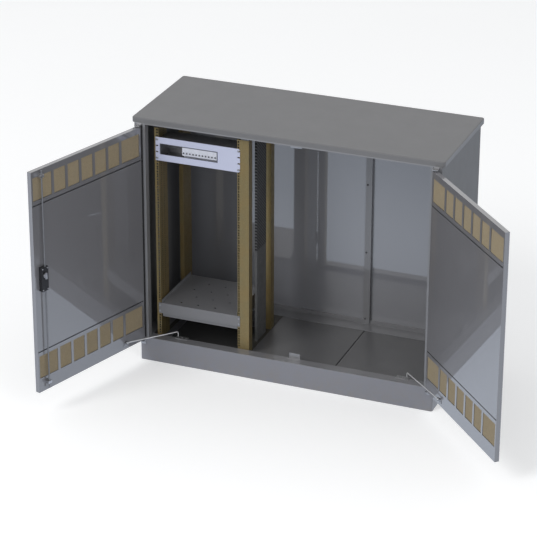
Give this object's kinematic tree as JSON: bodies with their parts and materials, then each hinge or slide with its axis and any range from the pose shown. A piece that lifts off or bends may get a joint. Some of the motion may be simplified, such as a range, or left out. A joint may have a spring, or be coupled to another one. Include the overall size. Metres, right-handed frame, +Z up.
{
  "type": "outdoor telecom street cabinet",
  "caption": "Wide grey steel street cabinet on a plinth with two hinged doors open, door stays, rod lock, filter vents, a rack bay with breaker panel and shelf.",
  "frame": {"origin": "centre of the plinth's underside", "axes": "+X to the right seen from the front, +Y to the rear, +Z up"},
  "size_m": [2.4643, 1.4853, 1.42],
  "materials": {
    "plinth_paint": "semi-gloss grey paint",
    "frame_paint": "semi-gloss grey paint",
    "floor_paint": "semi-gloss dark grey paint",
    "body_paint": "glossy grey paint",
    "roof_paint": "satin grey paint",
    "door_paint": "glossy grey paint",
    "panel_paint": "satin light blue-grey paint",
    "shelf_paint": "satin grey paint",
    "chromate": "yellow chromate on zinc",
    "galvanised": "zinc plated",
    "lock_metal": "zinc plated",
    "wire": "bright zinc plated wire",
    "seal": "black foam rubber",
    "filter_mat": "beige non-woven mat",
    "module_plastic": "white moulded plastic",
    "escutcheon_plastic": "black moulded plastic"
  },
  "bodies": {
    "cabinet": {"plinth_front": "plinth_paint", "plinth_rear": "plinth_paint", "plinth_sides": "plinth_paint", "front_sill": "frame_paint", "rear_ledge": "frame_paint", "side_sills": "frame_paint", "floor_plates": "floor_paint", "left_wall": "body_paint", "right_wall": "body_paint", "rear_wall_left": "body_paint", "rear_wall_right": "body_paint", "ceiling": "body_paint", "front_posts": "frame_paint", "door_seals": "seal", "front_header": "frame_paint", "rear_joint_post": "frame_paint", "roof": "roof_paint", "door_stop_tabs": "galvanised", "hinge_brackets": "galvanised", "stay_sockets": "galvanised", "rack_upright_front_left": "chromate", "rack_upright_front_right": "chromate", "rack_upright_rear_left": "chromate", "rack_upright_rear_right": "chromate", "rack_base_rails": "chromate", "rack_top_rails": "chromate", "breaker_panel": "panel_paint", "breaker_chassis": "galvanised", "mounting_rail": "galvanised", "breaker_row": "module_plastic", "equipment_shelf": "shelf_paint"},
    "left_door": {"left_door_skin": "door_paint", "left_door_panel": "door_paint", "left_vent_covers": "door_paint", "left_filter_frames": "galvanised", "left_filter_mats": "filter_mat", "left_hinge_pins": "galvanised", "left_stay_bracket": "galvanised", "lock_case": "lock_metal", "rod_guides": "lock_metal", "lock_escutcheon": "escutcheon_plastic"},
    "right_door": {"right_door_skin": "door_paint", "right_door_panel": "door_paint", "right_vent_covers": "door_paint", "right_filter_frames": "galvanised", "right_filter_mats": "filter_mat", "right_hinge_pins": "galvanised", "right_stay_bracket": "galvanised"},
    "left_stay_body": {"left_stay": "wire"},
    "right_stay_body": {"right_stay": "wire"},
    "lock_knob_body": {"lock_knob": "lock_metal"},
    "lock_rod_upper_body": {"lock_rod_upper": "lock_metal"},
    "lock_rod_lower_body": {"lock_rod_lower": "lock_metal"}
  },
  "joints": [
    {"name": "left_door_hinge", "type": "hinge", "parent": "cabinet", "child": "left_door", "pos_m": [-0.822, -0.35, 0.753], "axis": [0, 0, 1], "range_deg": [0, 107.5]},
    {"name": "right_door_hinge", "type": "hinge", "parent": "cabinet", "child": "right_door", "pos_m": [0.822, -0.35, 0.753], "axis": [0, 0, -1], "range_deg": [0, 132.7]},
    {"name": "left_stay_hinge", "type": "hinge", "parent": "left_door", "child": "left_stay_body", "pos_m": [-0.84111, -0.49706, 0.174], "axis": [0, 0, -1], "range_deg": [0, 155.77]},
    {"name": "right_stay_hinge", "type": "hinge", "parent": "right_door", "child": "right_stay_body", "pos_m": [0.92089, -0.49551, 0.174], "axis": [0, 0, 1], "range_deg": [0, 175.25]},
    {"name": "lock_knob_turn", "type": "hinge", "parent": "left_door", "child": "lock_knob_body", "pos_m": [-1.01861, -1.09328, 0.798], "axis": [0.9537, -0.3007, 0], "range_deg": [0, 90]},
    {"name": "upper_rod_slide", "type": "slide", "parent": "left_door", "child": "lock_rod_upper_body", "axis": [0, 0, 1], "range_m": [0, 0.014]},
    {"name": "lower_rod_slide", "type": "slide", "parent": "left_door", "child": "lock_rod_lower_body", "axis": [0, 0, -1], "range_m": [0, 0.014]}
  ],
  "couplings": [
    {"joint": "left_stay_hinge", "follows": "left_door_hinge", "ratio": 1.4485},
    {"joint": "right_stay_hinge", "follows": "right_door_hinge", "ratio": 1.3203},
    {"joint": "lock_knob_turn", "follows": "upper_rod_slide", "rad_per_m": 112.2},
    {"joint": "lower_rod_slide", "follows": "upper_rod_slide", "ratio": 1}
  ]
}
